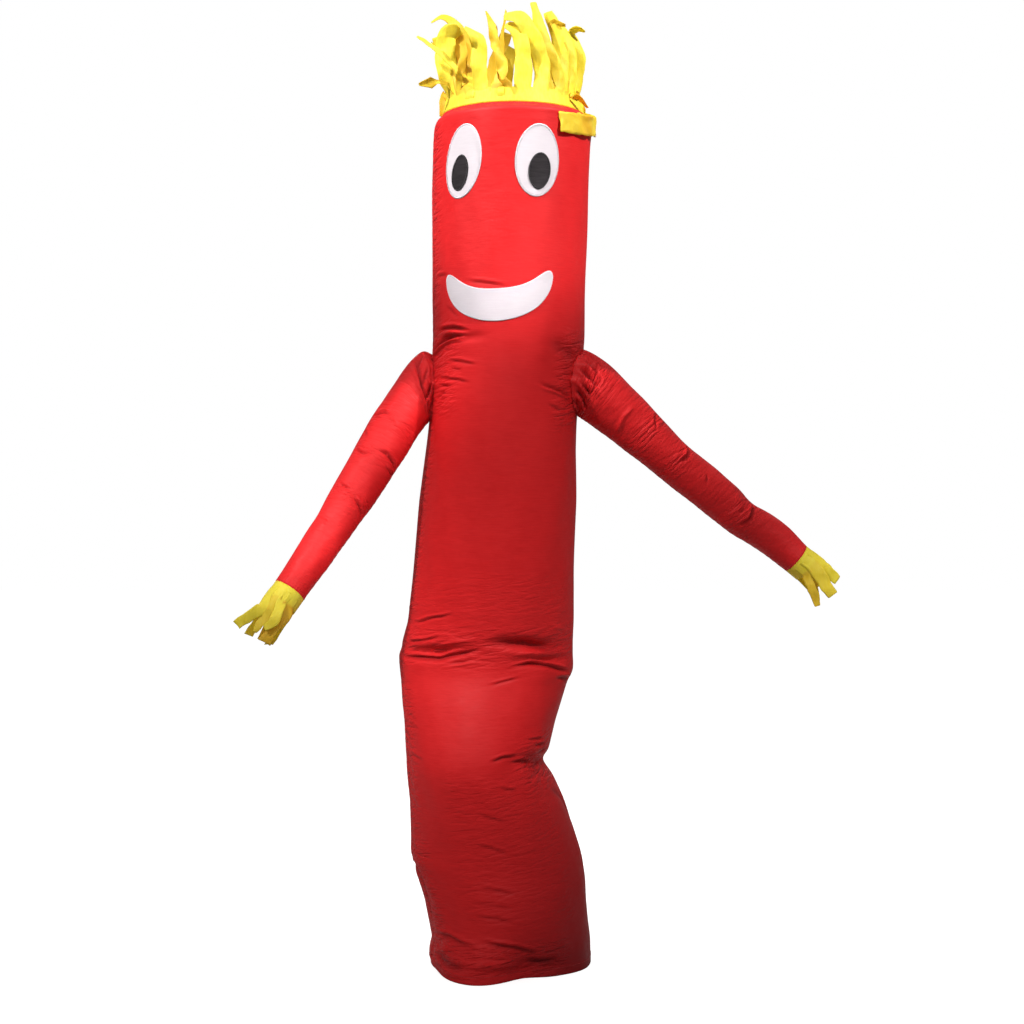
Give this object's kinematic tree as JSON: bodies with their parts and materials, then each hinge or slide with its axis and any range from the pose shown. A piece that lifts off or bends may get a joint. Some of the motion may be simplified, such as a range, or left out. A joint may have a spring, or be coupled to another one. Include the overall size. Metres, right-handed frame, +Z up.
{
  "type": "inflatable air dancer",
  "caption": "Tall hollow nylon tube figure for a blower, bent at its creases, with hanging sleeves, cut ribbon hair and hands, and a plain sewn face.",
  "frame": {"origin": "on the floor, under the middle of the whole figure's box", "axes": "+Z up along the tube, the face looks along -Y, +X to the right of someone who faces it"},
  "size_m": [1.7816, 0.6914, 2.9099],
  "materials": {
    "red_nylon": "thin woven nylon, slightly shiny, sewn and softly puckered",
    "yellow_nylon": "thin woven nylon, cut into ribbons, lets some light through",
    "white_patch": "thin woven nylon patch, sewn flat",
    "grey_patch": "dark woven nylon patch, sewn flat"
  },
  "bodies": {
    "root": {"body": "red_nylon", "arm_left": "red_nylon", "arm_right": "red_nylon", "hair_fringe": "yellow_nylon", "hand_fringe_left": "yellow_nylon", "hand_fringe_right": "yellow_nylon", "eye_white_left": "white_patch", "eye_white_right": "white_patch", "pupil_left": "grey_patch", "pupil_right": "grey_patch", "smile": "white_patch"}
  },
  "joints": []
}
